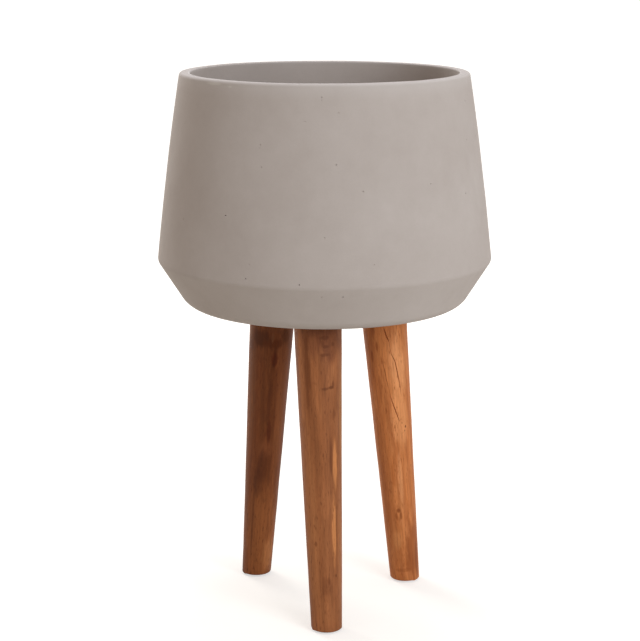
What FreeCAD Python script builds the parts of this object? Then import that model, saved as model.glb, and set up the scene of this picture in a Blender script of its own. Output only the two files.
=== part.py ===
import FreeCAD, Part
import math
import os

# Floor planter: a cast cement pot that stands on three turned wooden legs, each screwed to its base.
# Millimetres, +Z up, front towards -Y, origin on the floor under the middle of the pot.

# Pot, cast in cement
total_height = 620.0
pot_height = 263.0
shoulder_height = 52.5            # from the base up to the widest ring
shoulder_diameter = 380.0         # widest ring, after its edge is rounded
rim_inset = 27.5                  # from the widest ring in to the rim, each side
base_inset = 33.0                 # from the widest ring in to the base, before its edge is rounded
wall_thickness = 11.8
wall_bow = 1.5                    # swell of the upper wall beyond a straight cone
rim_outer_round = 3.2
rim_inner_round = 1.5
shoulder_round = 6.3
base_round = 22.0
inner_shoulder_round = 5.0
inner_floor_round = 14.0
drain_diameter = 21.0

# Long nuts, cast into the base with their lower faces bare
nut_across_flats = 17.0
nut_length = 20.0
nut_cover = 8.0                   # cement above each nut
thread_clearance = 0.08

# Legs, turned in wood and cut level with the floor at both ends
leg_names = ("front", "right", "left")
leg_clocks = (21.9, 12.8, -14.6)  # turn of each leg away from pointing straight outwards, degrees
front_leg_azimuth = -96.1         # degrees from +X
seat_circle_diameter = 148.5
leg_top_diameter = 54.0
leg_foot_diameter = 35.0
leg_splay = 6.1                   # lean of a leg from upright, degrees
foot_edge_round = 2.0
leg_top_edge_round = 1.0

# Hanger bolts, screwed into the legs for good and into the nuts by hand
bolt_diameter = 10.0
bolt_end_gap = 5.0                # thread of the nut left free above the bolt
bolt_in_wood = 40.0
bolt_point = 8.0                  # length of the conical tip in the wood
bolt_point_diameter = 2.0
bolt_chamfer = 1.0
bolt_hole_gap = 2.0               # drilled depth beyond the bolt's point

# Rubber seat washers between the legs and the base
washer_diameter = 44.0
washer_thickness = 3.0
washer_clearance = 0.4

# Glides, nailed into a shallow recess under each foot
glide_diameter = 20.0
glide_thickness = 5.0
glide_proud = 2.0                 # part of the glide that stands below the wood
glide_edge_round = 1.0
nail_head_diameter = 7.0
nail_head_thickness = 1.2
nail_head_sink = 0.8              # depth of the head above the floor
nail_shank_diameter = 2.6
nail_in_wood = 18.0
nail_point = 4.0

# Rubber plug in the drain hole, pushed in from below
plug_clearance = 0.08
plug_taper = 1.8                  # how much narrower the tip is than the root
plug_tip_gap = 4.0                # distance of the tip below the inner floor
plug_flange_overhang = 5.5        # flange beyond the drain hole, all round
plug_flange_thickness = 3.0
plug_edge_round = 1.0

# Heights and radii worked out from the sizes above
base_z = total_height - pot_height
shoulder_z = base_z + shoulder_height
floor_thickness = nut_length + nut_cover
floor_z = base_z + floor_thickness
leg_top_z = base_z - washer_thickness
leg_bottom_z = glide_proud
leg_height = leg_top_z - leg_bottom_z
shoulder_radius = shoulder_diameter / 2
rim_radius = shoulder_radius - rim_inset
base_radius = shoulder_radius - base_inset
seat_radius = seat_circle_diameter / 2
leg_spacing = 360.0 / len(leg_names)

upright = FreeCAD.Vector(0, 0, 1)


def point(radius, height):
    """A point of the pot's half section."""
    return FreeCAD.Vector(radius, 0, height)


def line(start, end):
    return Part.LineSegment(start, end).toShape()


def bowed(start, end):
    """The upper wall's curve from one height to another, swelling outwards in the middle."""
    middle = (start + end) / 2 + FreeCAD.Vector(wall_bow, 0, 0)
    return Part.Arc(start, middle, end).toShape()


def ring_edge(shape, radius, height):
    """The circular edge about the pot's axis with this radius and height."""
    for edge in shape.Edges:
        if not isinstance(edge.Curve, Part.Circle):
            continue
        same_radius = math.isclose(edge.Curve.Radius, radius, abs_tol=1e-4)
        if same_radius and math.isclose(edge.Curve.Center.z, height, abs_tol=1e-4):
            return edge
    raise ValueError(f"no ring of radius {radius} at height {height}")


def edges_at(shape, height):
    """The edges that lie flat at one height."""
    return [edge for edge in shape.Edges
            if math.isclose(edge.BoundBox.ZMin, height, abs_tol=1e-4)
            and math.isclose(edge.BoundBox.ZMax, height, abs_tol=1e-4)]


def cylinder(diameter, bottom, top, centre):
    """An upright cylinder between two heights, about a point in plan."""
    foot = FreeCAD.Vector(centre.x, centre.y, bottom)
    return Part.makeCylinder(diameter / 2, top - bottom, foot, upright)


def cone(bottom_diameter, top_diameter, bottom, top, centre):
    """An upright cone between two heights, about a point in plan."""
    foot = FreeCAD.Vector(centre.x, centre.y, bottom)
    return Part.makeCone(bottom_diameter / 2, top_diameter / 2, top - bottom, foot, upright)


def in_plan(radius, azimuth):
    """A point in plan at a radius and an azimuth in degrees."""
    angle = math.radians(azimuth)
    return FreeCAD.Vector(radius * math.cos(angle), radius * math.sin(angle), 0)


def hexagon(centre, azimuth):
    """The prism of a nut, standing on the base's plane with one corner at the azimuth."""
    sides = 6
    corner_radius = nut_across_flats / 2 / math.cos(math.pi / sides)
    corners = [centre + upright * base_z + in_plan(corner_radius, azimuth + 360 / sides * i)
               for i in range(sides + 1)]
    return Part.Face(Part.makePolygon(corners)).extrude(upright * nut_length)


def pot_shell(seats, azimuths):
    """Bowl with an inward-leaning wall over a shallow lower cone, drilled for the drain and the nuts."""
    lean = math.atan(rim_inset / (total_height - shoulder_z))
    flare = math.atan(base_inset / shoulder_height)
    corner_reach = math.cos((flare - lean) / 2) / math.cos((flare + lean) / 2) - 1
    corner_radius = shoulder_radius + shoulder_round * corner_reach
    # inside, both walls are offset by the thickness, so the inner corner lies a little higher
    cone_offset = wall_thickness / math.cos(flare)
    inner_rise = (cone_offset - wall_thickness) / (math.tan(lean) + math.tan(flare))
    inner_corner_radius = corner_radius - wall_thickness - inner_rise * math.tan(lean)
    inner_corner_z = shoulder_z + inner_rise
    inner_floor_radius = inner_corner_radius - (inner_corner_z - floor_z) * math.tan(flare)
    inner_rim_radius = rim_radius - wall_thickness

    section = Part.Wire([
        line(point(0, base_z), point(base_radius, base_z)),
        line(point(base_radius, base_z), point(corner_radius, shoulder_z)),
        bowed(point(corner_radius, shoulder_z), point(rim_radius, total_height)),
        line(point(rim_radius, total_height), point(inner_rim_radius, total_height)),
        bowed(point(inner_rim_radius, total_height), point(inner_corner_radius, inner_corner_z)),
        line(point(inner_corner_radius, inner_corner_z), point(inner_floor_radius, floor_z)),
        line(point(inner_floor_radius, floor_z), point(0, floor_z)),
        line(point(0, floor_z), point(0, base_z)),
    ])
    shell = Part.Face(section).revolve(FreeCAD.Vector(0, 0, 0), upright, 360)
    for radius, height, size in (
            (rim_radius, total_height, min(rim_outer_round, wall_thickness / 2)),
            (inner_rim_radius, total_height, min(rim_inner_round, wall_thickness / 4)),
            (corner_radius, shoulder_z, shoulder_round),
            (base_radius, base_z, base_round),
            (inner_corner_radius, inner_corner_z, inner_shoulder_round),
            (inner_floor_radius, floor_z, inner_floor_round)):
        shell = shell.makeFillet(size, [ring_edge(shell, radius, height)])
    shell = shell.cut(cylinder(drain_diameter, base_z, floor_z, FreeCAD.Vector()))
    for seat, azimuth in zip(seats, azimuths):
        shell = shell.cut(hexagon(seat, azimuth))
    return shell


def leg_nut(seat, azimuth):
    """Long hexagon nut with a plain bore at the thread's outer diameter."""
    bore = cylinder(bolt_diameter + 2 * thread_clearance, base_z, base_z + nut_length, seat)
    return hexagon(seat, azimuth).cut(bore)


def foot_of(seat, direction):
    """The middle of a leg's foot in plan, below a seat and out along its lean."""
    return seat + in_plan(leg_height * math.tan(math.radians(leg_splay)), direction)


def leg(seat, foot):
    """Leaning tapered bar with level ends, drilled upright for its bolt and recessed for its glide."""
    top = seat + upright * leg_top_z
    bottom = foot + upright * leg_bottom_z
    axis = bottom - top
    # the bar is turned a little long at both ends, then sawn level
    spare = axis / axis.Length * leg_top_diameter
    taper = (leg_top_diameter - leg_foot_diameter) / 2 / axis.Length
    spare_taper = taper * leg_top_diameter
    bar = Part.makeCone(leg_top_diameter / 2 + spare_taper, leg_foot_diameter / 2 - spare_taper,
                        axis.Length + 2 * spare.Length, top - spare, axis)
    reach = axis.Length
    corner = FreeCAD.Vector(top.x - reach, top.y - reach, leg_bottom_z)
    bar = bar.common(Part.makeBox(2 * reach, 2 * reach, leg_height, corner))
    bar = bar.makeFillet(foot_edge_round, edges_at(bar, leg_bottom_z))
    bar = bar.makeFillet(leg_top_edge_round, edges_at(bar, leg_top_z))

    bolt_hole_bottom = leg_top_z - bolt_in_wood - bolt_hole_gap
    recess_top = leg_bottom_z + glide_thickness - glide_proud
    for tool in (cylinder(bolt_diameter, bolt_hole_bottom, leg_top_z, seat),
                 cylinder(glide_diameter, leg_bottom_z, recess_top, foot),
                 cylinder(nail_shank_diameter, recess_top, recess_top + nail_in_wood, foot)):
        bar = bar.cut(tool)
    return bar


def hanger_bolt(seat):
    """Headless bolt: a chamfered upper end for the nut and a pointed lower end in the wood."""
    upper_end = base_z + nut_length - bolt_end_gap
    lower_end = leg_top_z - bolt_in_wood
    shank = cylinder(bolt_diameter, lower_end + bolt_point, upper_end, seat)
    shank = shank.makeChamfer(bolt_chamfer, edges_at(shank, upper_end))
    tip = cone(bolt_point_diameter, bolt_diameter, lower_end, lower_end + bolt_point, seat)
    return shank.fuse(tip).removeSplitter()


def seat_washer(seat):
    """Flat rubber ring that the leg's upper end presses against the base."""
    disc = cylinder(washer_diameter, leg_top_z, base_z, seat)
    return disc.cut(cylinder(bolt_diameter + 2 * washer_clearance, leg_top_z, base_z, seat))


def foot_glide(foot):
    """Round glide that the leg stands on, stepped inside so that the nail's head stays off the floor."""
    disc = cylinder(glide_diameter, 0, glide_thickness, foot)
    disc = disc.makeFillet(glide_edge_round, edges_at(disc, 0))
    head_top = nail_head_sink + nail_head_thickness
    disc = disc.cut(cylinder(nail_head_diameter, 0, head_top, foot))
    return disc.cut(cylinder(nail_shank_diameter, head_top, glide_thickness, foot))


def glide_nail(foot):
    """Flat-headed nail, driven upwards through the glide into the foot."""
    head_top = nail_head_sink + nail_head_thickness
    point_end = glide_thickness + nail_in_wood
    head = cylinder(nail_head_diameter, nail_head_sink, head_top, foot)
    shank = cylinder(nail_shank_diameter, head_top, point_end - nail_point, foot)
    tip = Part.makeCone(nail_shank_diameter / 2, 0, nail_point,
                        foot + upright * (point_end - nail_point), upright)
    return head.fuse([shank, tip]).removeSplitter()


def drain_plug():
    """Tapered rubber stopper with a flange that bears on the underside of the base."""
    centre = FreeCAD.Vector()
    flange_bottom = base_z - plug_flange_thickness
    flange_diameter = drain_diameter + 2 * plug_flange_overhang
    flange = cylinder(flange_diameter, flange_bottom, base_z, centre)
    flange = flange.makeFillet(plug_edge_round, edges_at(flange, flange_bottom))
    root_diameter = drain_diameter - 2 * plug_clearance
    stem = cone(root_diameter, root_diameter - plug_taper, base_z, floor_z - plug_tip_gap, centre)
    stem = stem.makeFillet(plug_edge_round, edges_at(stem, floor_z - plug_tip_gap))
    return flange.fuse(stem)


azimuths = [front_leg_azimuth + leg_spacing * i for i in range(len(leg_names))]
seats = [in_plan(seat_radius, azimuth) for azimuth in azimuths]

nodes = {"pot_shell": pot_shell(seats, azimuths), "drain_plug": drain_plug()}
for name, seat, azimuth, clock in zip(leg_names, seats, azimuths, leg_clocks):
    foot = foot_of(seat, azimuth + clock)
    nodes["leg_" + name] = leg(seat, foot)
    nodes["leg_nut_" + name] = leg_nut(seat, azimuth)
    nodes["hanger_bolt_" + name] = hanger_bolt(seat)
    nodes["seat_washer_" + name] = seat_washer(seat)
    nodes["foot_glide_" + name] = foot_glide(foot)
    nodes["glide_nail_" + name] = glide_nail(foot)

os.makedirs("parts", exist_ok=True)
for name, shape in nodes.items():
    shape.exportStep("parts/" + name + ".step")
    print(name, len(shape.Solids), shape.isValid(), round(shape.Volume, 1))
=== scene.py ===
import math
import random

import bmesh
import bpy
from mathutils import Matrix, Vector


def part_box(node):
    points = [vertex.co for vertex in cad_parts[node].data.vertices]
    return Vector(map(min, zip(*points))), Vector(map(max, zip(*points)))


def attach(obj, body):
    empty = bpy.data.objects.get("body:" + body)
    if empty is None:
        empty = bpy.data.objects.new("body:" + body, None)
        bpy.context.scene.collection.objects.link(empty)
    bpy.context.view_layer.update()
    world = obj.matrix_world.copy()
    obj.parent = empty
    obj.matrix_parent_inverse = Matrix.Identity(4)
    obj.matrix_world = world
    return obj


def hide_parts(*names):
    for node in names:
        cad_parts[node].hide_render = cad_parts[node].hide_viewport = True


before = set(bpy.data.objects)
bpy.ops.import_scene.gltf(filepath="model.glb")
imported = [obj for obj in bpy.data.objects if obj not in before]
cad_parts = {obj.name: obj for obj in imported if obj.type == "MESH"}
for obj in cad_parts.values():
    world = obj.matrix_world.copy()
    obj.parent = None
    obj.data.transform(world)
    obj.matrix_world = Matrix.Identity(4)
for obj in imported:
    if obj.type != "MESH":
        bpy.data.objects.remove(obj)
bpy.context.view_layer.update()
MM = 0.001


# Pot. A bowl cast in warm grey cement in one pour: a wall that leans in over a shallow lower cone,
# a rounded rim, a drain hole in the middle of the base and a hexagon pocket round each nut.

# corners within the weld gap are merged, and a tool starts the overcut outside what it cuts
weld_gap = 0.02 * MM
overcut = 1 * MM


def begin(piece):
    """Opens one piece in edit mode, with nothing selected in it."""
    bpy.ops.object.select_all(action="DESELECT")
    piece.select_set(True)
    bpy.context.view_layer.objects.active = piece
    bpy.ops.object.mode_set(mode="EDIT")
    bpy.ops.mesh.select_all(action="DESELECT")


def pick(kind, test):
    """Selects the corners, edges or faces of the open piece that lie wholly where the test says."""
    bpy.ops.mesh.select_mode(type=kind)
    bpy.ops.mesh.select_all(action="DESELECT")
    mesh = bmesh.from_edit_mesh(bpy.context.object.data)
    for item in {"VERT": mesh.verts, "EDGE": mesh.edges, "FACE": mesh.faces}[kind]:
        corners = [item] if kind == "VERT" else item.verts
        if all(test(corner.co) for corner in corners):
            item.select_set(True)
    bmesh.update_edit_mesh(bpy.context.object.data)


def close(piece, smooth_below=35):
    """Closes edit mode: seams merged, faces turned outwards, edges gentler than the angle smoothed."""
    bpy.ops.mesh.select_mode(type="VERT")
    bpy.ops.mesh.select_all(action="SELECT")
    bpy.ops.mesh.remove_doubles(threshold=weld_gap)
    bpy.ops.mesh.dissolve_degenerate(threshold=weld_gap)
    bpy.ops.mesh.normals_make_consistent(inside=False)
    bpy.ops.object.mode_set(mode="OBJECT")
    bpy.ops.object.shade_smooth_by_angle(angle=math.radians(smooth_below))
    return piece


def drawn(name, outline):
    """Draws a half section point by point, each a radius and a height, and leaves it open and selected."""
    bpy.ops.object.select_all(action="DESELECT")
    bpy.ops.mesh.primitive_plane_add(size=MM, location=(outline[0][0], 0, outline[0][1]))
    piece = bpy.context.object
    piece.name = name
    bpy.ops.object.transform_apply(location=True)
    begin(piece)
    bpy.ops.mesh.select_all(action="SELECT")
    bpy.ops.mesh.merge(type="CENTER")
    for (radius, height), (next_radius, next_height) in zip(outline, outline[1:]):
        bpy.ops.mesh.extrude_region_move(
            TRANSFORM_OT_translate={"value": (next_radius - radius, 0, next_height - height)})
    bpy.ops.mesh.select_all(action="SELECT")
    return piece


def spun(name, outline, sides):
    """Draws a half section and spins it about the Z axis."""
    piece = drawn(name, outline)
    bpy.ops.mesh.spin(steps=sides, angle=2 * math.pi, center=(0, 0, 0), axis=(0, 0, 1))
    return close(piece)


def round_ring(radius, height, offset, segments):
    """Bevels the ring of the open piece at that radius and height."""
    pick("EDGE", lambda place: abs(place.xy.length - radius) < weld_gap and abs(place.z - height) < weld_gap)
    bpy.ops.mesh.bevel(offset=offset, segments=segments, profile=0.5, affect="EDGES")


def apply(piece, kind, **settings):
    """Adds one modifier with these settings to a piece and applies it."""
    modifier = piece.modifiers.new(kind.title(), kind)
    for key, value in settings.items():
        setattr(modifier, key, value)
    bpy.context.view_layer.objects.active = piece
    bpy.ops.object.modifier_apply(modifier=modifier.name)


def cut(piece, tool, operation="DIFFERENCE"):
    """Cuts a closed tool out of a piece, joins the two or keeps what they share, and throws the tool away."""
    apply(piece, "BOOLEAN", object=tool, operation=operation, solver="EXACT")
    bpy.data.objects.remove(tool)


def wavered(piece, length, height, corners=""):
    """Pushes a piece's surface, or a group of its corners, in and out in soft waves of that size."""
    waves = bpy.data.textures.new(piece.name + "_waves", "CLOUDS")
    waves.noise_scale = length
    waves.noise_depth = 1
    apply(piece, "DISPLACE", texture=waves, texture_coords="LOCAL", mid_level=0.5, strength=height,
          vertex_group=corners)


def middle(node):
    """The middle of a node's box, in plan."""
    low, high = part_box(node)
    return (low + high).xy / 2


def heading(azimuth):
    """The level direction at an azimuth in degrees."""
    turn = math.radians(azimuth)
    return Vector((math.cos(turn), math.sin(turn), 0))


def hexagon(name, flats, low, high, corner):
    """A six-sided bar on the Z axis between two heights, with a corner at that azimuth in radians."""
    bpy.ops.object.select_all(action="DESELECT")
    bpy.ops.mesh.primitive_cylinder_add(vertices=6, radius=flats / math.sqrt(3), depth=high - low,
                                        location=(0, 0, (low + high) / 2))
    piece = bpy.context.object
    piece.name = name
    piece.rotation_euler.z = corner - math.pi / 2
    bpy.ops.object.transform_apply(location=True, rotation=True)
    return piece


def put(piece, spot):
    """Moves a piece that stands on the Z axis to a place in plan, with the place in its mesh."""
    bpy.ops.object.select_all(action="DESELECT")
    piece.select_set(True)
    bpy.context.view_layer.objects.active = piece
    piece.location = (*spot, 0)
    bpy.ops.object.transform_apply(location=True)
    return piece


leg_names = "front", "right", "left"
pot_low, pot_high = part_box("pot_shell")
base_z = pot_low.z
rim_z = pot_high.z
shoulder_z = base_z + 52.5 * MM
floor_z = base_z + 28 * MM
shoulder_radius = pot_high.x
rim_radius = shoulder_radius - 27.5 * MM
base_radius = shoulder_radius - 33 * MM
drain_radius = 10.5 * MM
wall_thickness = 11.8 * MM
wall_bow = 1.5 * MM
drain_round = 1.2 * MM
base_round = 22 * MM
shoulder_round = 6.3 * MM
rim_outer_round = 3.2 * MM
rim_inner_round = 1.5 * MM
inner_shoulder_round = 5 * MM
inner_floor_round = 14 * MM
pot_sides = 320
wall_rings = 22

lean = math.atan2(shoulder_radius - rim_radius, rim_z - shoulder_z)
flare = math.atan2(shoulder_radius - base_radius, shoulder_z - base_z)
corner_radius = shoulder_radius + shoulder_round * (
    math.cos((flare - lean) / 2) / math.cos((flare + lean) / 2) - 1)
inner_rise = (wall_thickness / math.cos(flare) - wall_thickness) / (math.tan(lean) + math.tan(flare))
inner_corner_z = shoulder_z + inner_rise
inner_corner_radius = corner_radius - wall_thickness - inner_rise * math.tan(lean)
inner_floor_radius = inner_corner_radius - (inner_corner_z - floor_z) * math.tan(flare)
inner_rim_radius = rim_radius - wall_thickness


def on_wall(start, end, share):
    """The radius and height at a share of the way along a bowed wall."""
    swell = wall_bow * (1 - (2 * share - 1) ** 2)
    return start[0] + (end[0] - start[0]) * share + swell, start[1] + (end[1] - start[1]) * share


outer_wall = (corner_radius, shoulder_z), (rim_radius, rim_z)
inner_wall = (inner_rim_radius, rim_z), (inner_corner_radius, inner_corner_z)
wall_shares = [step / wall_rings for step in range(wall_rings + 1)]
base_shares = (0.25, 0.5, 0.75, 1)
pot = spun("cement_pot", [
    (drain_radius, base_z),
    *((base_radius * share, base_z) for share in base_shares),
    ((base_radius + corner_radius) / 2, (base_z + shoulder_z) / 2),
    *(on_wall(*outer_wall, share) for share in wall_shares),
    *(on_wall(*inner_wall, share) for share in wall_shares),
    *((inner_floor_radius * share, floor_z) for share in reversed(base_shares)),
    (drain_radius, floor_z),
    (drain_radius, base_z),
], pot_sides)

# each edge's ring, its rounding and how far the surface turns there
right_angle = math.pi / 2
begin(pot)
for radius, height, rounding, turn, segments in (
        (drain_radius, base_z, drain_round, right_angle, 3),
        (base_radius, base_z, base_round, right_angle - flare, 14),
        (corner_radius, shoulder_z, shoulder_round, lean + flare, 8),
        (rim_radius, rim_z, rim_outer_round, right_angle - lean, 8),
        (inner_rim_radius, rim_z, rim_inner_round, right_angle + lean, 5),
        (inner_corner_radius, inner_corner_z, inner_shoulder_round, lean + flare, 6),
        (inner_floor_radius, floor_z, inner_floor_round, right_angle - flare, 8),
        (drain_radius, floor_z, drain_round, right_angle, 3)):
    round_ring(radius, height, rounding * math.tan(turn / 2), segments)
close(pot)

# the mould was not quite true, so the bowl waves by a fraction of a millimetre above its flat base
flat_height = 4 * MM
mould_wave_length = 70 * MM
mould_wave_height = 0.7 * MM
begin(pot)
pick("VERT", lambda place: place.z > base_z + flat_height)
bpy.ops.object.vertex_group_assign_new()
bpy.ops.object.mode_set(mode="OBJECT")
wavered(pot, mould_wave_length, mould_wave_height, pot.vertex_groups[0].name)

# air bubbles that burst at the mould's face: azimuth and height of those that show, with the radius of
# their mouth and their depth, all in degrees and millimetres, then a scatter outside and inside
bubbles = [(azimuth, height * MM, False, across, depth) for azimuth, height, across, depth in (
    (-91, 607, 0.8, 1.2), (-91, 604, 0.6, 0.7), (-85, 591, 0.8, 0.58), (-97, 582, 0.8, 0.6),
    (-113, 557, 0.82, 1.05), (-113, 554, 0.6, 0.6), (-86, 538, 0.76, 2.4), (-112, 534, 0.85, 0.8),
    (-51, 513, 0.85, 0.82), (-77, 510, 0.75, 1.6), (-125, 481, 1.15, 2.6), (-90, 463, 0.85, 0.7),
    (-115, 432, 0.8, 0.58), (-74, 434, 0.8, 0.7), (-116, 417, 0.82, 2.2), (-98, 414, 0.8, 2.6),
    (-84, 400, 0.78, 2.2), (-91, 400, 0.8, 0.65))]
scatter_heights = rim_z - 190 * MM, rim_z - 12 * MM
chance = random.Random(38)
for count, inside, *arc in ((34, False, -35, 215), (26, True, 0, 360)):
    for bubble in range(count):
        bubbles.append((chance.uniform(*arc), chance.uniform(*scatter_heights), inside,
                        chance.uniform(0.6, 1.1), chance.uniform(0.5, 2.2)))
bpy.ops.object.select_all(action="DESELECT")
bpy.ops.mesh.primitive_ico_sphere_add(subdivisions=2, radius=MM, location=(0, 0, 0))
bubble_tool = bpy.context.object
begin(bubble_tool)
bpy.ops.mesh.select_all(action="SELECT")
bpy.ops.mesh.delete(type="VERT")
for azimuth, height, inside, across, depth in bubbles:
    outward = heading(azimuth)
    eye = Vector((0, 0, height)) if inside else Vector((0, 0, height)) + 2 * shoulder_radius * outward
    spot = pot.ray_cast(eye, outward if inside else -outward)[1]
    bpy.ops.mesh.select_all(action="DESELECT")
    bpy.ops.mesh.primitive_ico_sphere_add(
        subdivisions=2, radius=MM, location=spot, rotation=(0, 0, math.radians(azimuth)),
        scale=(depth, across, across * chance.uniform(0.75, 1)))
bpy.ops.object.mode_set(mode="OBJECT")
cut(pot, bubble_tool)

nut_flats = 17 * MM
pocket_gap = 0.02 * MM
nut_low, nut_high = (corner.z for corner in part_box("leg_nut_front"))
front_nut = middle("leg_nut_front")
nut_corner = math.atan2(front_nut.y, front_nut.x)
for name in leg_names:
    pocket = hexagon("pocket", nut_flats + 2 * pocket_gap, nut_low - overcut, nut_high + pocket_gap,
                     nut_corner)
    cut(pot, put(pocket, middle("leg_nut_" + name)))
begin(pot)
bpy.ops.mesh.select_mode(type="FACE")
bpy.ops.mesh.select_face_by_sides(number=4, type="GREATER")
bpy.ops.mesh.quads_convert_to_tris()
close(pot)

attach(pot, "pot")
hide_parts("pot_shell")


def tone(hex_colour):
    """An sRGB hex colour as linear light, with full cover."""
    parts = [int(hex_colour[i:i + 2], 16) / 255 for i in (0, 2, 4)]
    return (*(c / 12.92 if c <= 0.04045 else ((c + 0.055) / 1.055) ** 2.4 for c in parts), 1)


def finish_of(piece, name):
    """Gives a piece a new, empty material by that name, and hands back its node tree."""
    material = bpy.data.materials.new(name)
    material.use_nodes = True
    material.node_tree.nodes.clear()
    piece.data.materials.clear()
    piece.data.materials.append(material)
    return material.node_tree


def add(tree, kind, settings, inputs, out=None):
    """Adds a node with its settings, links or values, and gives back one of its outputs."""
    made = tree.nodes.new("ShaderNode" + kind)
    for key, value in settings.items():
        setattr(made, key, value)
    for key, value in inputs.items():
        if isinstance(value, bpy.types.NodeSocket):
            tree.links.new(value, made.inputs[key])
        else:
            made.inputs[key].default_value = value
    return made.outputs[out] if out else next((o for o in made.outputs if o.enabled), None)


def every(size):
    """The scale of a pattern whose blots lie this many millimetres apart."""
    return 1 / (size * MM)


def nearness(tree, where, spot, half_width, half_height):
    """The distance from a spot, 1 on an ellipsoid of that half width and half height in millimetres."""
    away = add(tree, "VectorMath", {"operation": "SUBTRACT"}, {0: where, 1: spot})
    away = add(tree, "VectorMath", {"operation": "MULTIPLY"}, {
        0: away, 1: (every(half_width), every(half_width), every(half_height))})
    return add(tree, "VectorMath", {"operation": "LENGTH"}, {0: away}, "Value")


# Cast cement, unpainted: chalky and matt, with soft clouds where the mix dried unevenly, and fine sand.
# Rubbed edges are paler, a painted highlight lines the front of the mouth's edge, the rim has two scuffs, and
# painted shade darkens the inside at the back left.
rub_depth = 5 * MM
bloom_depth = 18 * MM
# width of the painted highlight along the front of the mouth's edge
highlight_width = 2.4 * MM
# azimuth and drop below the rim, then half width, half height and strength of a scuff, or the reach of the
# painted shade
scuffs = (-136, 3.4, 15, 2.2, 0.5), (-127.5, 5.5, 4, 1.5, 0.4)
# place and reach of the painted shade inside the pot
shade_azimuth, shade_drop, shade_reach = 136, 30, 115

tree = finish_of(pot, "cast_cement")
place = add(tree, "TexCoord", {}, {}, "Object")
clouds = add(tree, "TexNoise", {}, {"Vector": place, "Scale": every(75), "Detail": 4, "Roughness": 0.55})
blots = add(tree, "TexNoise", {}, {"Vector": place, "Scale": every(16), "Detail": 3, "Roughness": 0.6})
sand = add(tree, "TexNoise", {}, {"Vector": place, "Scale": every(1.8), "Detail": 2, "Roughness": 0.7})
shade = add(tree, "Math", {"operation": "MULTIPLY_ADD"}, {0: clouds, 1: 0.9, 2: -0.2})
shade = add(tree, "Math", {"operation": "MULTIPLY_ADD"}, {0: blots, 1: 0.35, 2: shade})
shade = add(tree, "Math", {"operation": "MULTIPLY_ADD"}, {0: sand, 1: 0.25, 2: shade})
cement = add(tree, "Mix", {"data_type": "RGBA"}, {0: shade, 6: tone("A89C93"), 7: tone("BAB0A8")})

# the rubbed top of the rim, and a faint bloom below it on the outside
height = add(tree, "SeparateXYZ", {}, {"Vector": place}, "Z")
rubbed = add(tree, "MapRange", {"interpolation_type": "SMOOTHSTEP"}, {
    "Value": height, "From Min": rim_z - rub_depth, "From Max": rim_z})
rubbed = add(tree, "Math", {"operation": "MULTIPLY"}, {0: rubbed, 1: 0.26})
flat = add(tree, "VectorMath", {"operation": "MULTIPLY"}, {0: place, 1: (1, 1, 0)})
reach = add(tree, "VectorMath", {"operation": "LENGTH"}, {0: flat}, "Value")
outside = add(tree, "MapRange", {}, {
    "Value": reach, "From Min": inner_rim_radius + 3 * MM, "From Max": inner_rim_radius + 7 * MM})
bloom = add(tree, "MapRange", {"interpolation_type": "SMOOTHSTEP"}, {
    "Value": height, "From Min": rim_z - bloom_depth, "From Max": rim_z - 3 * MM, "To Max": 0.17})
bloom = add(tree, "Math", {"operation": "MULTIPLY"}, {0: bloom, 1: outside})
rubbed = add(tree, "Math", {"operation": "MAXIMUM"}, {0: rubbed, 1: bloom})
cement = add(tree, "Mix", {"data_type": "RGBA"}, {0: rubbed, 6: cement, 7: tone("CFC9C4")})

# painted highlight: the palest line, along the front of the mouth's edge, where light grazes the inner round
# of the rim
painted_highlight = add(tree, "MapRange", {"interpolation_type": "SMOOTHSTEP"}, {
    "Value": reach, "From Min": inner_rim_radius + highlight_width, "From Max": inner_rim_radius + 1 * MM})
upper = add(tree, "MapRange", {"interpolation_type": "SMOOTHSTEP"}, {
    "Value": height, "From Min": rim_z - 2 * MM, "From Max": rim_z - 1 * MM})
painted_highlight = add(tree, "Math", {"operation": "MULTIPLY"}, {0: painted_highlight, 1: upper})
front = add(tree, "SeparateXYZ", {}, {"Vector": place}, "Y")
front = add(tree, "MapRange", {"interpolation_type": "SMOOTHSTEP"}, {
    "Value": front, "From Min": 30 * MM, "From Max": -50 * MM, "To Max": 0.8})
painted_highlight = add(tree, "Math", {"operation": "MULTIPLY"}, {0: painted_highlight, 1: front})
cement = add(tree, "Mix", {"data_type": "RGBA"}, {0: painted_highlight, 6: cement, 7: tone("E2DCD7")})

# the scuffs on the outer edge of the rim
for azimuth, drop, half_width, half_height, strength in scuffs:
    spot = rim_radius * heading(azimuth) + Vector((0, 0, rim_z - drop * MM))
    scuff = add(tree, "MapRange", {"interpolation_type": "SMOOTHSTEP"}, {
        "Value": nearness(tree, place, spot, half_width, half_height),
        "From Min": 1, "From Max": 0.4, "To Max": strength})
    cement = add(tree, "Mix", {"data_type": "RGBA"}, {0: scuff, 6: cement, 7: tone("CFC8BE")})

# painted shade: a darker patch on the inner wall at the back left
inside = add(tree, "Math", {"operation": "SUBTRACT"}, {0: 1, 1: outside})
spot = inner_rim_radius * heading(shade_azimuth) + Vector((0, 0, rim_z - shade_drop * MM))
painted_shade = add(tree, "MapRange", {"interpolation_type": "SMOOTHSTEP"}, {
    "Value": nearness(tree, place, spot, shade_reach, shade_reach),
    "From Min": 1, "From Max": 1 / 3, "To Max": 0.47})
painted_shade = add(tree, "Math", {"operation": "MULTIPLY"}, {0: painted_shade, 1: inside})
cement = add(tree, "Mix", {"data_type": "RGBA"}, {0: painted_shade, 6: cement, 7: tone("9C9189")})

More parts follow.
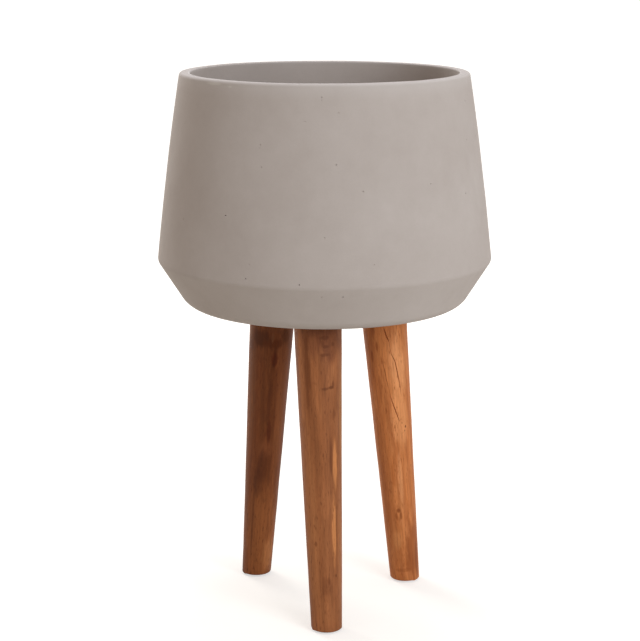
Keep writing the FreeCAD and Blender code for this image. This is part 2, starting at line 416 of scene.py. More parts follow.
grain = add(tree, "Math", {"operation": "MULTIPLY_ADD"}, {0: blots, 1: 2.0, 2: sand})
relief = add(tree, "Bump", {}, {"Strength": 0.35, "Distance": 0.12 * MM, "Height": grain})
shader = add(tree, "BsdfPrincipled", {}, {
    "Base Color": cement, "Roughness": 0.88, "Diffuse Roughness": 0.25, "IOR": 1.5,
    "Specular IOR Level": 0.2, "Normal": relief})
add(tree, "OutputMaterial", {}, {"Surface": shader})


# Cast-in nuts. Long hexagon nuts of zinc-plated steel, M10, set in the mould so that the cement grips
# their flats. Their lower ends lie flush with the base, countersunk, and take the legs' bolts.

def wound(name, start, root, crest, flank, land, pitch, turns):
    """Winds a right-hand thread up the Z axis from a height, and closes its two ends. It has a root and a
    crest radius, and flank, land and pitch are the heights of a flank, of the flat crest and of a turn."""
    steps = 28
    fine_gap = 0.002 * MM
    corners = ((root, start), (crest, start + flank), (crest, start + flank + land),
               (root, start + 2 * flank + land))
    ends = 0, pitch * turns
    piece = drawn(name, [*corners, (root, start + pitch)])
    bpy.ops.object.mode_set(mode="OBJECT")
    apply(piece, "SCREW", axis="Z", angle=2 * math.pi, screw_offset=pitch, iterations=turns,
          steps=steps, render_steps=steps)
    begin(piece)
    bpy.ops.mesh.select_all(action="SELECT")
    bpy.ops.mesh.remove_doubles(threshold=fine_gap)
    for lift in ends:
        pick("VERT", lambda spot: abs(spot.y) < fine_gap / 2 and any(
            abs(spot.x - radius) + abs(spot.z - height - lift) < 5 * fine_gap for radius, height in corners))
        bpy.ops.mesh.edge_face_add()
    for lift in ends:
        bpy.ops.mesh.select_mode(type="EDGE")
        bpy.ops.mesh.select_all(action="DESELECT")
        mesh = bmesh.from_edit_mesh(piece.data)
        for edge in mesh.edges:
            if edge.is_boundary and abs(edge.verts[0].co.z - start - lift - pitch / 2) < pitch:
                edge.select_set(True)
        bmesh.update_edit_mesh(piece.data)
        bpy.ops.mesh.extrude_region_move()
        bpy.ops.mesh.merge(type="CENTER")
    return close(piece)


def copied(model, name, spot):
    """A copy of a model that stands on the Z axis, with its own mesh, put at a place in plan."""
    piece = model.copy()
    piece.data = model.data.copy()
    piece.name = name
    bpy.context.scene.collection.objects.link(piece)
    return put(piece, spot)


pitch = 1.5 * MM
thread_start = nut_low - 10 * pitch
nut_reach = nut_flats / math.sqrt(3) + 0.1 * MM
nut_end_radius = nut_reach - 1.6 * MM
nut_chamfer = 0.9 * MM
sink_radius = 5.8 * MM
sink_over = 0.2 * MM
hardware_smooth = 28

nut_model = hexagon("nut_model", nut_flats, nut_low, nut_high, nut_corner)
cut(nut_model, spun("turned_ends", [
    (0, nut_low), (nut_end_radius, nut_low), (nut_reach, nut_low + nut_chamfer),
    (nut_reach, nut_high - nut_chamfer), (nut_end_radius, nut_high), (0, nut_high)], 64), "INTERSECT")
cut(nut_model, wound("tap", thread_start, root=4.22 * MM, crest=5.08 * MM, flank=0.42 * MM, land=0.29 * MM,
                     pitch=pitch, turns=28))
for end, inward in ((nut_low, 1), (nut_high, -1)):
    mouth = end - sink_over * inward
    cut(nut_model, spun("sink", [
        (0, mouth), (sink_radius + sink_over, mouth), (0, end + sink_radius * inward)], 48))
begin(nut_model)
close(nut_model, hardware_smooth)

# Zinc-plated steel: a cool bright grey, half dull, with a faint straw and blue cast from the passivation
# bath and cloudy patches in the shine.
tree = finish_of(nut_model, "zinc_plated_steel")
place = add(tree, "TexCoord", {}, {}, "Object")
cast = add(tree, "TexNoise", {}, {"Vector": place, "Scale": every(7), "Detail": 2})
cast = add(tree, "MapRange", {}, {"Value": cast, "From Min": 0.35, "From Max": 0.65})
plating = add(tree, "Mix", {"data_type": "RGBA"}, {0: cast, 6: tone("B9BDC2"), 7: tone("C6C3B8")})
frost = add(tree, "TexNoise", {}, {"Vector": place, "Scale": every(0.8), "Detail": 3, "Roughness": 0.6})
dull = add(tree, "MapRange", {}, {"Value": frost, "To Min": 0.24, "To Max": 0.48})
relief = add(tree, "Bump", {}, {"Strength": 0.2, "Distance": 0.03 * MM, "Height": frost})
shader = add(tree, "BsdfPrincipled", {}, {
    "Base Color": plating, "Metallic": 1, "Roughness": dull, "Normal": relief})
add(tree, "OutputMaterial", {}, {"Surface": shader})

for name in leg_names:
    nut = copied(nut_model, "hex_nut_" + name, middle("leg_nut_" + name))
    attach(nut, "pot")
    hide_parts("leg_nut_" + name)
bpy.data.objects.remove(nut_model)


# Legs. Three bars of oiled hardwood, turned to a taper a little too long, then sawn level at both ends. Each
# is drilled upright from above for its bolt, and below for its glide and nail. Some have drying cracks.
leg_top_radius = 27 * MM
leg_foot_radius = 17.5 * MM
leg_spare = 54 * MM
leg_sides = 96
leg_rings = 60
top_edge_round = 1 * MM
foot_edge_round = 2 * MM
saw_gap = 0.01 * MM
lathe_wave_length = 45 * MM
lathe_wave_height = 0.5 * MM
bolt_radius = 5 * MM
bolt_hole_depth = 42 * MM
recess_radius = 10 * MM
recess_depth = 3 * MM
nail_radius = 1.3 * MM
nail_hole_depth = 21 * MM
crack_depth = 3 * MM
leg_foot_z, leg_top_z = (corner.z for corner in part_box("leg_front"))


def drilled(piece, centre, low, high, radius):
    """Drills an upright hole between two heights."""
    bpy.ops.object.select_all(action="DESELECT")
    bpy.ops.mesh.primitive_cylinder_add(vertices=40, radius=radius, depth=high - low,
                                        location=(*centre, (low + high) / 2))
    drill = bpy.context.object
    bpy.ops.object.transform_apply(location=True)
    cut(piece, drill)


def crack(piece, spots, inward, width):
    """Opens a drying crack along points of a leg's surface, widest half way, in towards an azimuth."""
    shares = [0.12 + 0.88 * math.sin(math.pi * i / (len(spots) - 1)) for i in range(len(spots))]
    bpy.ops.object.select_all(action="DESELECT")
    bpy.ops.mesh.primitive_circle_add(vertices=3, radius=1, fill_type="NGON")
    blade = bpy.context.object
    blade.scale = (width / math.sqrt(3), (crack_depth + overcut) / 1.5, 1)
    blade.rotation_euler.z = math.radians(inward) - math.pi / 2
    blade.location = spots[0] + heading(inward) * (crack_depth - blade.scale.y)
    bpy.ops.object.transform_apply(location=True, rotation=True, scale=True)
    begin(blade)
    bpy.ops.mesh.select_all(action="SELECT")
    bpy.ops.transform.resize(value=(shares[0], shares[0], 1), center_override=spots[0])
    for spot, next_spot, share, next_share in zip(spots, spots[1:], shares, shares[1:]):
        bpy.ops.mesh.extrude_region_move(TRANSFORM_OT_translate={"value": next_spot - spot})
        grow = next_share / share
        bpy.ops.transform.resize(value=(grow, grow, 1), center_override=next_spot)
    close(blade)
    cut(piece, blade)


# drying cracks: the width in millimetres, then the path's points, each an azimuth and a height
cracks = {
    "front": ((1.3, (80, 310), (84, 285), (81, 255), (86, 232)),),
    "right": ((2.2, (-95, 326), (-92, 318), (-87, 311), (-83, 306)),
              (1.4, (-84, 308), (-80, 292), (-71, 283), (-66, 268), (-61, 253), (-60, 243)),
              (0.9, (-79, 324), (-79, 315), (-81, 304)),
              (1.1, (-106, 284), (-101, 272), (-98, 259), (-91, 243)),
              (2.0, (-93, 244), (-86, 231), (-81, 224), (-75, 215), (-67, 206)),
              (1.3, (60, 330), (64, 300), (61, 262), (66, 230))),
    "left": ((1.3, (95, 300), (99, 270), (97, 238), (102, 215)),),
}
# The parts of the grain: width across and length along the bar in millimetres, detail and roughness.
grain_parts = {
    "sway": (22, 138, 2, 0.5), "broad": (13, 60, 3, 0.55), "mottle": (4, 18, 3, 0.6),
    "streak": (2.4, 70, 2, 0.5), "fibre": (0.9, 24, 2, 0.6), "flecks": (2, 9, 2, 0.5),
    "pores": (0.8, 8, 1, 0.5),
}
# Each bar's own figure: knots push the rings aside, marks are blots and streaks in another tone, and a few
# dark marks at the top of the front and left bars are painted shadow under the pot. Both lie at an azimuth
# about the bar and a height, with a half width and half length, all in degrees and millimetres.
wood_figure = {
    "front": {
        "tones": ("64371D", "8C532F", "9C613A"), "heart": (-58, 46, 0), "slant": (0.03, -0.05, 0),
        "ring": 9, "ring_strength": 0.3,
        "knots": ((-72, 331, 11, 15, 11), (70, 190, 15, 30, 12)),
        "marks_and_painted_shadow": (
            (-130, 130, 9, 150, "A86B40", 0.7), (-28, 100, 6, 80, "A5683E", 0.6),
            (-20, 250, 4.5, 80, "A06B3C", 0.6), (-40, 236, 2.5, 18, "A4673F", 0.5),
            # (-80, 353), (-56, 332) and (-106, 334) are painted shadow under the pot, at the top of the bar
            (-66, 150, 13, 190, "86502D", 0.4), (-80, 353, 40, 16, "5A3018", 0.85),
            (-56, 332, 18, 27, "6C3B22", 0.7), (-106, 334, 12, 24, "74422A", 0.5),
            (-100, 215, 12, 50, "86502D", 0.4), (-80, 150, 9, 24, "9E623A", 0.5),
            (-104, 22, 17, 22, "A0643C", 0.5), (-121, 300, 4.5, 66, "6A391B", 0.7),
            (-142, 286, 5, 70, "AE6E42", 0.7), (-74, 337, 6, 3, "54290F", 0.6),
            (-72, 327, 5, 2, "54290F", 0.55), (-80, 331, 2, 5, "5A2E15", 0.5),
            (-74, 318, 6, 2.2, "54290F", 0.5), (-52, 329, 2.5, 3, "54290F", 0.45),
            (-74, 280, 5, 1.8, "5A2E15", 0.6), (-60, 281, 4.5, 2.4, "54290F", 0.7),
            (-53, 284, 1.8, 6, "5A2E15", 0.6), (-52, 250, 2, 9, "66361B", 0.55),
            (-49, 194, 3.5, 31, "BE7A47", 0.85), (-62, 203, 2.2, 24, "64351A", 0.7),
            (-55, 120, 3.5, 46, "BE7A47", 0.85), (-46, 122, 1.2, 44, "6C3B1D", 0.6),
            (-117, 104, 1.8, 3.2, "64341A", 0.6), (-50, 67, 1.2, 2, "4E2711", 0.65),
            (-84, 56, 7, 13, "744225", 0.5), (-78, 62, 2, 6, "5F3016", 0.4)),
    },
    "right": {
        "tones": ("8E4A24", "B46A38", "C67D49"), "heart": (50, 60, 0), "slant": (-0.05, 0.03, 0),
        "ring": 9, "ring_strength": 0.28,
        "knots": ((-94, 91, 10, 17, 7), (90, 140, 15, 30, 12)),
        "marks_and_painted_shadow": (
            (-62, 278, 13, 46, "DE9863", 0.65), (-68, 216, 12, 44, "DC955F", 0.6),
            (-80, 136, 3.5, 44, "DE9863", 0.55), (-70, 28, 7, 14, "9A5428", 0.5),
            (-108, 57, 7, 15, "CB8650", 0.55), (-108, 285, 10, 60, "C57C47", 0.6),
            (-46, 305, 7, 18, "B06A38", 0.45), (-45, 42, 14, 46, "8E4C24", 0.75),
            (-138, 300, 9, 48, "975429", 0.4), (-150, 180, 9, 70, "9C592B", 0.25),
            (-125, 322, 3, 14, "7C421D", 0.65), (-118, 250, 2.4, 22, "8E4E26", 0.5),
            (-106, 222, 1.4, 5, "84461F", 0.6), (-117, 301, 1.6, 8, "8A4820", 0.65),
            (-135, 288, 2.2, 8, "84441E", 0.55), (-107, 284, 1.1, 6, "8E4A22", 0.5),
            (-110, 268, 1.2, 7, "8E4A22", 0.45), (-95, 95, 3, 3.5, "7A3E1C", 0.75),
            (-102, 88, 1.6, 6, "7E421E", 0.6), (-87, 88, 1.6, 6, "7E421E", 0.6),
            (-50, 201, 1.1, 1.7, "4E260F", 0.85), (-54, 196, 0.9, 1.3, "4E260F", 0.5),
            (-62, 206, 0.9, 1.8, "5E2F14", 0.5), (-33, 30, 3, 26, "753B19", 0.6),
            (-90, 17, 14, 3, "8E4B25", 0.45), (-100, 140, 3, 16, "A86030", 0.5)),
    },
    "left": {
        "tones": ("4B240C", "6A381A", "7C4624"), "heart": (-40, -62, 0), "slant": (0.06, 0.04, 0),
        "ring": 10, "ring_strength": 0.3,
        "knots": ((-72, 344, 16, 30, 12), (-74, 278, 6, 15, 5), (85, 120, 15, 30, 12)),
        "marks_and_painted_shadow": (
            (-80, 50, 28, 80, "965A31", 0.7), (-140, 240, 7, 90, "764829", 0.4),
            # (-116, 308), (-80, 301) and (-46, 310) are painted shadow under the pot, at the top of the bar
            # where it shows
            (-45, 215, 8, 90, "85502D", 0.5), (-116, 308, 15, 14, "4B2308", 0.85),
            (-80, 301, 14, 6.5, "58290A", 0.8), (-46, 310, 7, 13, "522A0B", 0.75),
            (-77, 319, 8, 7, "6E3E22", 0.7), (-84, 309, 2, 7, "7A4A2C", 0.7),
            (-160, 314, 6, 8, "80502E", 0.55), (-150, 297, 5, 8, "4A2410", 0.5),
            (-76, 291, 2.4, 8, "4A2008", 0.5), (-75, 281, 4.2, 10, "521E06", 0.85),
            (-82, 232, 4, 44, "4B2410", 0.6), (-78, 191, 2.6, 24, "4E1D0B", 0.65),
            (-86, 168, 11, 14, "80492A", 0.5), (-90, 148, 8, 26, "4E2612", 0.55),
            (-104, 126, 7, 24, "4A220F", 0.5), (-116, 70, 2, 60, "552B13", 0.55),
            (-47, 30, 9, 26, "AA6D40", 0.75), (-58, 60, 3, 20, "6A3A1B", 0.4)),
    },
}

for name in leg_names:
    seat = Vector((*middle("hanger_bolt_" + name), leg_top_z))
    foot = Vector((*middle("foot_glide_" + name), leg_foot_z))
    axis = seat - foot
    taper = (leg_top_radius - leg_foot_radius) / axis.length

    def surface(azimuth, height):
        """The point of this bar's surface at an azimuth and a height in millimetres."""
        share = (height * MM - leg_foot_z) / (leg_top_z - leg_foot_z)
        radius = leg_foot_radius + (leg_top_radius - leg_foot_radius) * share
        return foot + axis * share + heading(azimuth) * radius

    bar_length = axis.length + 2 * leg_spare
    ring_heights = [bar_length * i / leg_rings - leg_spare for i in range(leg_rings + 1)]
    leg = spun("leg_wood_" + name, [(leg_foot_radius + taper * z, z) for z in ring_heights], leg_sides)
    leg.rotation_euler = Vector((0, 0, 1)).rotation_difference(axis).to_euler()
    leg.location = foot
    bpy.ops.object.transform_apply(location=True, rotation=True)
    wavered(leg, lathe_wave_length, lathe_wave_height)
    begin(leg)
    for saw_z, waste in ((leg_foot_z, "clear_inner"), (leg_top_z, "clear_outer")):
        bpy.ops.mesh.select_all(action="SELECT")
        bpy.ops.mesh.bisect(plane_co=(0, 0, saw_z), plane_no=(0, 0, 1), use_fill=True, **{waste: True})
    for saw_z, rounding in ((leg_foot_z, foot_edge_round), (leg_top_z, top_edge_round)):
        pick("EDGE", lambda spot: abs(spot.z - saw_z) < saw_gap)
        bpy.ops.mesh.bevel(offset=rounding, segments=4, profile=0.5, affect="EDGES")
    close(leg)
    recess_z = leg_foot_z + recess_depth
    drilled(leg, seat.xy, leg_top_z - bolt_hole_depth, leg_top_z + overcut, bolt_radius)
    drilled(leg, foot.xy, leg_foot_z - overcut, recess_z, recess_radius)
    drilled(leg, foot.xy, recess_z - overcut, leg_foot_z + nail_hole_depth, nail_radius)
    for width, *path in cracks[name]:
        crack(leg, [surface(*point) for point in path], path[0][0] + 180, width * MM)
    begin(leg)
    close(leg)
    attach(leg, "leg_" + name)
    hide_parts("leg_" + name)

    # Oiled teak: warm brown heartwood, mottled along the grain, with weak growth rings, silky straight fibre,
    # short dark flecks and pores, and each bar's own knots, dark blots and pale streaks. Dark marks at the
    # top of the front and left bars are painted shadow under the pot.
    figure = wood_figure[name]
    deep, warm, pale = (tone(colour) for colour in figure["tones"])
    into_bar = axis.rotation_difference(Vector((0, 0, 1))).to_matrix()
    tree = finish_of(leg, "oiled_teak_" + name)
    place = add(tree, "TexCoord", {}, {}, "Object")
    bar = add(tree, "Mapping", {}, {"Vector": place, "Rotation": into_bar.to_euler(),
                                    "Location": -(into_bar @ foot)})
    grain = {}
    for part, (width, length, detail, roughness) in grain_parts.items():
        drawn_out = add(tree, "VectorMath", {"operation": "MULTIPLY"}, {0: bar, 1: (1, 1, width / length)})
        grain[part] = add(tree, "TexNoise", {}, {
            "Vector": drawn_out, "Scale": every(width), "Detail": detail, "Roughness": roughness},
            "Color" if part == "sway" else None)
    sway = add(tree, "VectorMath", {"operation": "SUBTRACT"}, {0: grain["sway"], 1: (0.5, 0.5, 0.5)})
    sway = add(tree, "VectorMath", {"operation": "MULTIPLY"}, {0: sway, 1: (9 * MM, 9 * MM, 24 * MM)})
    grown = add(tree, "VectorMath", {"operation": "ADD"}, {0: bar, 1: sway})
    flecks = add(tree, "MapRange", {"interpolation_type": "SMOOTHSTEP"}, {
        "Value": grain["flecks"], "From Min": 0.6, "From Max": 0.74, "To Max": 0.55})
    pores = add(tree, "MapRange", {"interpolation_type": "SMOOTHSTEP"}, {
        "Value": grain["pores"], "From Min": 0.58, "From Max": 0.74})

    # growth rings round the heart of the trunk, pushed out by the knots
    from_heart = add(tree, "Mapping", {}, {"Vector": grown, "Rotation": figure["slant"],
                                           "Location": [-v * MM for v in figure["heart"]]})
    from_heart = add(tree, "VectorMath", {"operation": "MULTIPLY"}, {0: from_heart, 1: (1, 1, 0)})
    age = add(tree, "VectorMath", {"operation": "LENGTH"}, {0: from_heart}, "Value")
    for azimuth, height, half_width, half_length, push in figure["knots"]:
        spot = into_bar @ (surface(azimuth, height) - foot)
        bulge = add(tree, "MapRange", {"interpolation_type": "SMOOTHERSTEP"}, {
            "Value": nearness(tree, grown, spot, half_width, half_length),
            "From Min": 1, "From Max": 0, "To Max": push * MM})
        age = add(tree, "Math", {"operation": "ADD"}, {0: age, 1: bulge})
    years = add(tree, "Math", {"operation": "MULTIPLY"}, {0: age, 1: every(figure["ring"])})
    years = add(tree, "Math", {"operation": "MULTIPLY_ADD"}, {0: grain["mottle"], 1: 0.35, 2: years})
    season = add(tree, "Math", {"operation": "PINGPONG"}, {0: years, 1: 0.5})
    late = add(tree, "MapRange", {"interpolation_type": "SMOOTHSTEP"}, {
        "Value": season, "From Min": 0.1, "From Max": 0.5, "To Max": figure["ring_strength"]})

    # colour: mottled heartwood, dark late wood, the marks and the painted shadow with ragged edges, then
    # fibre, flecks and pores
    share = add(tree, "Math", {"operation": "MULTIPLY_ADD"}, {0: grain["mottle"], 1: 0.8, 2: grain["broad"]})
    share = add(tree, "MapRange", {}, {"Value": share, "From Min": 0.65, "From Max": 1.15})
    wood = add(tree, "Mix", {"data_type": "RGBA"}, {0: share, 6: warm, 7: pale})
    wood = add(tree, "Mix", {"data_type": "RGBA"}, {0: late, 6: wood, 7: deep})
    ragged = add(tree, "Math", {"operation": "MULTIPLY_ADD"}, {0: grain["mottle"], 1: 1.1, 2: -0.55})
    for azimuth, height, half_width, half_length, colour, strength in figure["marks_and_painted_shadow"]:
        spot = into_bar @ (surface(azimuth, height) - foot)
        edge = nearness(tree, bar, spot, half_width, half_length)
        edge = add(tree, "Math", {"operation": "ADD"}, {0: edge, 1: ragged})
        mark_and_shadow = add(tree, "MapRange", {"interpolation_type": "SMOOTHSTEP"}, {
            "Value": edge, "From Min": 1.15, "From Max": 0.45, "To Max": strength})
        wood = add(tree, "Mix", {"data_type": "RGBA"}, {0: mark_and_shadow, 6: wood, 7: tone(colour)})
    silk = add(tree, "Math", {"operation": "MULTIPLY_ADD"}, {0: grain["streak"], 1: 0.55, 2: 0.53})
    silk = add(tree, "Math", {"operation": "MULTIPLY_ADD"}, {0: grain["fibre"], 1: 0.5, 2: silk})
    wood = add(tree, "HueSaturation", {}, {"Color": wood, "Value": silk})
    wood = add(tree, "Mix", {"data_type": "RGBA"}, {0: flecks, 6: wood, 7: deep})
    pore_share = add(tree, "Math", {"operation": "MULTIPLY"}, {0: pores, 1: 0.4})
    wood = add(tree, "Mix", {"data_type": "RGBA"}, {0: pore_share, 6: wood, 7: deep})
    gloss = add(tree, "MapRange", {}, {"Value": grain["fibre"], "To Min": 0.42, "To Max": 0.66})
    groove = add(tree, "Math", {"operation": "MULTIPLY_ADD"}, {0: pores, 1: -0.8, 2: grain["fibre"]})
    relief = add(tree, "Bump", {}, {"Strength": 0.3, "Distance": 0.2 * MM, "Height": groove})
    shader = add(tree, "BsdfPrincipled", {}, {
        "Base Color": wood, "Roughness": gloss, "IOR": 1.48, "Specular IOR Level": 0.15, "Normal": relief})
    add(tree, "OutputMaterial", {}, {"Surface": shader})


# Hanger bolts. Zinc-plated steel rods with two threads: a coarse pointed one driven upright into the top of
# each leg, and above a plain waist the M10 thread that turns into the nut.
bolt_low, bolt_high = (corner.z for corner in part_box("hanger_bolt_front"))
waist_z = leg_top_z - 12 * MM
waist_low = waist_z - 5 * MM
waist_high = waist_z + 0.6 * MM
waist_radius = 4.45 * MM
run_out_radius = 4.3 * MM
end_radius = 4 * MM
end_chamfer = 1.2 * MM
past_crest = 5.2 * MM
point_radius = 1 * MM
point_length = 8.4 * MM
wood_pitch = 4 * MM
wood_turns = 9
wood_start = waist_z - 2 * MM - wood_pitch * wood_turns
wood_end = waist_z - 4 * MM

bolt_model = wound("bolt_model", thread_start, root=4.08 * MM, crest=4.99 * MM, flank=0.47 * MM,
                   land=0.19 * MM, pitch=pitch, turns=24)
cut(bolt_model, spun("rolled_length", [
    (0, waist_z), (run_out_radius, waist_z), (past_crest, waist_z + 0.9 * MM),
    (past_crest, bolt_high - end_chamfer), (end_radius, bolt_high), (0, bolt_high)], 64), "INTERSECT")
wood_thread = wound("wood_thread", wood_start, root=3.5 * MM, crest=4.98 * MM, flank=0.9 * MM,
                    land=0.2 * MM, pitch=wood_pitch, turns=wood_turns)
cut(wood_thread, spun("pointed_length", [
    (0, bolt_low), (point_radius, bolt_low), (past_crest, bolt_low + point_length),
    (past_crest, wood_end - 2 * MM), (run_out_radius, wood_end), (0, wood_end)], 64), "INTERSECT")
cut(bolt_model, wood_thread, "UNION")
cut(bolt_model, spun("waist", [
    (0, waist_low), (waist_radius, waist_low), (waist_radius, waist_high), (0, waist_high)], 48), "UNION")
begin(bolt_model)
close(bolt_model, hardware_smooth)
bolt_model.data.materials.clear()
bolt_model.data.materials.append(bpy.data.materials["zinc_plated_steel"])
for name in leg_names:
    bolt = copied(bolt_model, "bolt_" + name, middle("hanger_bolt_" + name))
    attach(bolt, "leg_" + name)
    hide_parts("hanger_bolt_" + name)
bpy.data.objects.remove(bolt_model)


# Seat washers. Flat rings of moulded black rubber, slipped over the bolts between the legs and the base,
# with shallow grip grooves on both faces, so that wood and cement don't rub.
seat_low, seat_high = (corner.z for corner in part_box("seat_washer_front"))
seat_radius = 22 * MM
seat_hole = 5.4 * MM
seat_edge_round = 0.8 * MM
seat_hole_round = 0.4 * MM
# radii of the grooves, and offset and depth of the points across one, in millimetres
seat_grooves = 9.5, 13, 16.5
groove_section = (-0.7, 0), (-0.35, 0.4), (0.35, 0.4), (0.7, 0)


def grooves(face_z, inward, radii):
    """Half-section points of shallow round grooves in a flat face, at those radii in millimetres."""
    return [((radius + offset) * MM, face_z + inward * depth * MM)
            for radius in radii for offset, depth in groove_section]


seat_model = spun("seat_model", [
    (seat_hole, seat_low), *grooves(seat_low, 1, seat_grooves), (seat_radius, seat_low),
    (seat_radius, seat_high), *reversed(grooves(seat_high, -1, seat_grooves)), (seat_hole, seat_high),
    (seat_hole, seat_low)], 128)
begin(seat_model)
for radius, rounding in ((seat_radius, seat_edge_round), (seat_hole, seat_hole_round)):
    for face_z in (seat_low, seat_high):
        round_ring(radius, face_z, rounding, 4)
close(seat_model)

# Black moulded rubber: matt, with a fine spark-eroded mould grain and a grey bloom in patches.
tree = finish_of(seat_model, "black_moulded_rubber")
place = add(tree, "TexCoord", {}, {}, "Object")
bloom = add(tree, "TexNoise", {}, {"Vector": place, "Scale": every(9), "Detail": 4, "Roughness": 0.6})
grain = add(tree, "TexNoise", {}, {"Vector": place, "Scale": every(0.5), "Detail": 2})
bloom = add(tree, "MapRange", {}, {"Value": bloom, "From Min": 0.35, "From Max": 0.75})
rubber = add(tree, "Mix", {"data_type": "RGBA"}, {0: bloom, 6: tone("1B1B1C"), 7: tone("333332")})
matt = add(tree, "MapRange", {}, {"Value": bloom, "To Min": 0.62, "To Max": 0.85})
relief = add(tree, "Bump", {}, {"Strength": 0.3, "Distance": 0.05 * MM, "Height": grain})
shader = add(tree, "BsdfPrincipled", {}, {
    "Base Color": rubber, "Roughness": matt, "IOR": 1.52, "Specular IOR Level": 0.4, "Normal": relief})
add(tree, "OutputMaterial", {}, {"Surface": shader})

for name in leg_names:
    seat_ring = copied(seat_model, "rubber_seat_" + name, middle("seat_washer_" + name))
    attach(seat_ring, "washer_" + name)
    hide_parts("seat_washer_" + name)
bpy.data.objects.remove(seat_model)


# Foot glides. Turned discs of grey nylon let into the feet so that 2 mm stand proud, with a soft lower edge,
# a ring groove underneath and a counterbore that keeps the nail's head off the floor.
glide_low, glide_high = (corner.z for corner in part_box("foot_glide_front"))
glide_radius = 9.96 * MM
glide_groove = 6.4
counterbore_radius = 3.5 * MM
counterbore_z = glide_low + 2 * MM

glide_model = spun("glide_model", [
    (nail_radius, counterbore_z), (counterbore_radius, counterbore_z), (counterbore_radius, glide_low),
    *grooves(glide_low, 1, [glide_groove]), (glide_radius, glide_low), (glide_radius, glide_high),
    (nail_radius, glide_high), (nail_radius, counterbore_z)], 96)
begin(glide_model)
for radius, ring_z, rounding in (
        (glide_radius, glide_low, 1 * MM), (glide_radius, glide_high, 0.4 * MM),
        (counterbore_radius, glide_low, 0.3 * MM)):
    round_ring(radius, ring_z, rounding, 5)
close(glide_model)

# Nylon 6, turned: mid grey, slightly waxy, with fine lathe lines running round and scuffs from the floor.
tree = finish_of(glide_model, "grey_nylon")
place = add(tree, "TexCoord", {}, {}, "Object")
scuffed = add(tree, "TexNoise", {}, {"Vector": place, "Scale": every(3), "Detail": 5, "Roughness": 0.65})
scuffed = add(tree, "MapRange", {}, {"Value": scuffed, "From Min": 0.35, "From Max": 0.7})
lines = add(tree, "VectorMath", {"operation": "MULTIPLY"}, {0: place, 1: (0.05, 0.05, 1)})
lines = add(tree, "TexNoise", {}, {"Vector": lines, "Scale": every(0.35), "Detail": 1})
nylon = add(tree, "Mix", {"data_type": "RGBA"}, {0: scuffed, 6: tone("7E8082"), 7: tone("92938F")})
waxy = add(tree, "MapRange", {}, {"Value": scuffed, "To Min": 0.38, "To Max": 0.6})
relief = add(tree, "Bump", {}, {"Strength": 0.3, "Distance": 0.04 * MM, "Height": lines})
shader = add(tree, "BsdfPrincipled", {}, {
    "Base Color": nylon, "Roughness": waxy, "IOR": 1.53, "Normal": relief})
add(tree, "OutputMaterial", {}, {"Surface": shader})

for name in leg_names:
    glide = copied(glide_model, "nylon_glide_" + name, middle("foot_glide_" + name))
    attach(glide, "leg_" + name)
    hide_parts("foot_glide_" + name)
bpy.data.objects.remove(glide_model)


# Glide nails. Flat-headed ring-shank nails of zinc-plated steel, one up through the middle of each glide.
# The head is chamfered, the shank has rolled rings that grip the wood, and the point is cut to a cone.
nail_low, nail_high = (corner.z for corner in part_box("glide_nail_front"))
head_radius = counterbore_radius - 0.04 * MM
head_face_radius = counterbore_radius - 0.6 * MM
head_chamfer = 0.35 * MM
shank_end = nail_high - 4 * MM
ring_spacing = 1.3 * MM
ring_count = int((shank_end - glide_high) / ring_spacing)
# share of the spacing and dip in millimetres of the points along a ring
ring_section = (0, 0), (0.12, 0.2), (0.6, 0.2)

nail_model = spun("nail_model", [
    (0, nail_low), (head_face_radius, nail_low), (head_radius, nail_low + head_chamfer),
    (head_radius, counterbore_z), (nail_radius, counterbore_z),
    *((nail_radius - dip * MM, glide_high + (ring + share) * ring_spacing)
      for ring in range(ring_count) for share, dip in ring_section),
    (nail_radius, shank_end), (0, nail_high)], 32)
nail_model.data.materials.append(bpy.data.materials["zinc_plated_steel"])
for name in leg_names:
    nail = copied(nail_model, "nail_" + name, middle("glide_nail_" + name))
    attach(nail, "leg_" + name)
    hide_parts("glide_nail_" + name)
bpy.data.objects.remove(nail_model)


# Drain plug. A moulded black rubber stopper pushed up into the drain hole from below: a flange with a finger
# dish, a tapered stem with three sealing ribs, and a hollow top so that it gives.
plug_low, plug_high = (corner.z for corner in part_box("drain_plug"))
flange_radius = 16 * MM
dish_radius = 9 * MM
dish_depth = 1.5 * MM
stem_foot = 10.42 * MM
stem_tip = 9.52 * MM
hollow_radius = 6.4 * MM
hollow_draft = 0.5 * MM
hollow_floor = base_z + 10 * MM
# heights and insets along the stem, and rise and inset of the points across a rib, in millimetres
stem_height = 24
tip_inset = 0.3
rib_inset = 0.5
rib_heights = 4, 10, 16
rib_section = (-1.6, rib_inset), (-0.4, 0), (0.4, 0), (1.6, rib_inset)


def stem(height, inset):
    """A point of the tapered stem at a height over the base in millimetres, set in by millimetres."""
    share = height * MM / (plug_high - base_z)
    return stem_foot + (stem_tip - stem_foot) * share - inset * MM, base_z + height * MM


plug = spun("rubber_plug", [
    (0, plug_low + dish_depth), (dish_radius * 0.6, plug_low + dish_depth * 0.8), (dish_radius, plug_low),
    (flange_radius, plug_low), (flange_radius, base_z), stem(0, rib_inset),
    *(stem(rib + rise, inset) for rib in rib_heights for rise, inset in rib_section),
    stem(stem_height, tip_inset), (hollow_radius, plug_high),
    (hollow_radius - hollow_draft, hollow_floor), (0, hollow_floor)], 96)
begin(plug)
for radius, ring_z, rounding in (
        (flange_radius, plug_low, 1 * MM), (flange_radius, base_z, 0.5 * MM),
        (dish_radius, plug_low, 0.6 * MM), (stem_tip - tip_inset * MM, plug_high, 1.2 * MM),
        (hollow_radius, plug_high, 0.6 * MM)):
    round_ring(radius, ring_z, rounding, 4)
close(plug)
plug.data.materials.append(bpy.data.materials["black_moulded_rubber"])
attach(plug, "plug")
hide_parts("drain_plug")


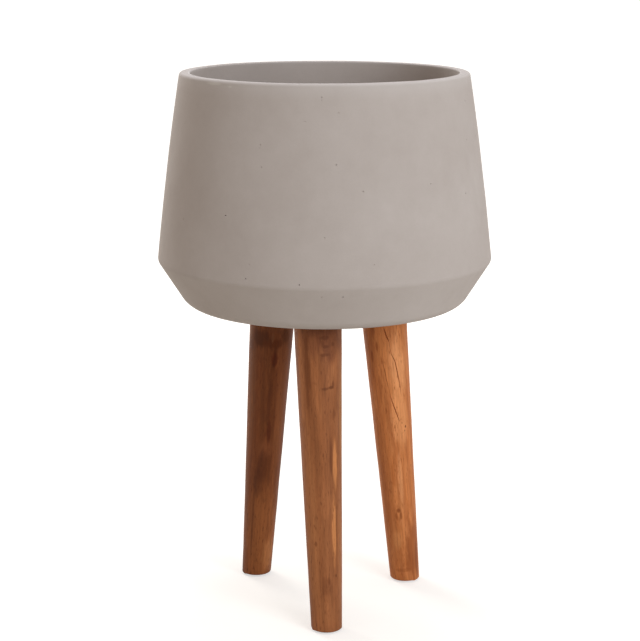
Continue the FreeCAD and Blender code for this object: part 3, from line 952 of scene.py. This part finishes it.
# Floor, backdrop and light of a small studio: a sheet of white paper without an end, which fades to white
# further off, a large soft lamp at the front right, one overhead and one for what the backdrop throws back.

def seen(tree):
    """1 where the eye meets a surface straight, in a gloss or through glass, and 0 where it only lights."""
    path = tree.nodes.new("ShaderNodeLightPath").outputs
    share = add(tree, "Math", {"operation": "MAXIMUM"}, {0: path["Is Camera Ray"], 1: path["Is Glossy Ray"]})
    return add(tree, "Math", {"operation": "MAXIMUM"}, {0: share, 1: path["Is Transmission Ray"]})


bpy.ops.object.select_all(action="DESELECT")
bpy.ops.mesh.primitive_plane_add(size=60)
floor = bpy.context.object
floor.name = "studio_floor"

# Matt white paper, which glows to the eye alone, and more with the distance in metres.
tree = finish_of(floor, "white_paper_sweep")
place = add(tree, "TexCoord", {}, {}, "Object")
far = add(tree, "VectorMath", {"operation": "LENGTH"}, {0: place}, "Value")
glow = add(tree, "MapRange", {"interpolation_type": "SMOOTHSTEP"}, {
    "Value": far, "From Min": 0.3, "From Max": 2.2, "To Min": 0.55, "To Max": 0.85})
glow = add(tree, "Math", {"operation": "MULTIPLY"}, {0: seen(tree), 1: glow})
shader = add(tree, "BsdfPrincipled", {}, {
    "Base Color": tone("CBC7BF"), "Roughness": 0.9, "Specular IOR Level": 0,
    "Emission Color": tone("FFFFFF"), "Emission Strength": glow})
add(tree, "OutputMaterial", {}, {"Surface": shader})

world = bpy.data.worlds.new("studio")
world.use_nodes = True
bpy.context.scene.world = world
tree = world.node_tree
tree.nodes.clear()
backdrop = add(tree, "Mix", {"data_type": "RGBA"}, {0: seen(tree), 6: tone("C9C2BE"), 7: tone("FFFFFF")})
sky = add(tree, "Background", {}, {"Color": backdrop, "Strength": 1})
add(tree, "OutputWorld", {}, {"Surface": sky})

# each lamp's place and width in metres, power in watts and colour
lamp_aim = Vector((0, 0, 0.42))
for name, spot, width, power, colour in (
        ("key", (1.42, -1.84, 1.28), 1.3, 36, "E8F3FF"),
        ("overhead", (0.05, 0.35, 2.3), 1.0, 15, "E2EEFF"),
        ("backdrop_bounce", (-1.15, 1.55, 1.0), 1.0, 21, "FFFFFF")):
    light = bpy.data.lights.new(name, "AREA")
    light.shape = "DISK"
    light.size = width
    light.energy = power
    light.color = tone(colour)[:3]
    lamp = bpy.data.objects.new(name, light)
    bpy.context.scene.collection.objects.link(lamp)
    lamp.location = spot
    lamp.rotation_euler = (lamp_aim - lamp.location).to_track_quat("-Z", "Y").to_euler()

# the camera looks down at the pot from the front: focal length and shift in pixels of a picture 641 high
picture_side = 641
focal_length = 1806.97
sideways_shift = -4.6
camera_distance = 2.03655
camera_height = 0.78676
look_down = 12.53
camera = bpy.data.cameras.new("camera")
camera.sensor_width = 36
camera.lens = focal_length / picture_side * camera.sensor_width
camera.shift_x = sideways_shift / picture_side
viewer = bpy.data.objects.new("camera", camera)
bpy.context.scene.collection.objects.link(viewer)
viewer.location = (0, -camera_distance, camera_height)
viewer.rotation_euler = (math.radians(90 - look_down), 0, 0)
bpy.context.scene.camera = viewer
bpy.context.scene.view_settings.view_transform = "Standard"
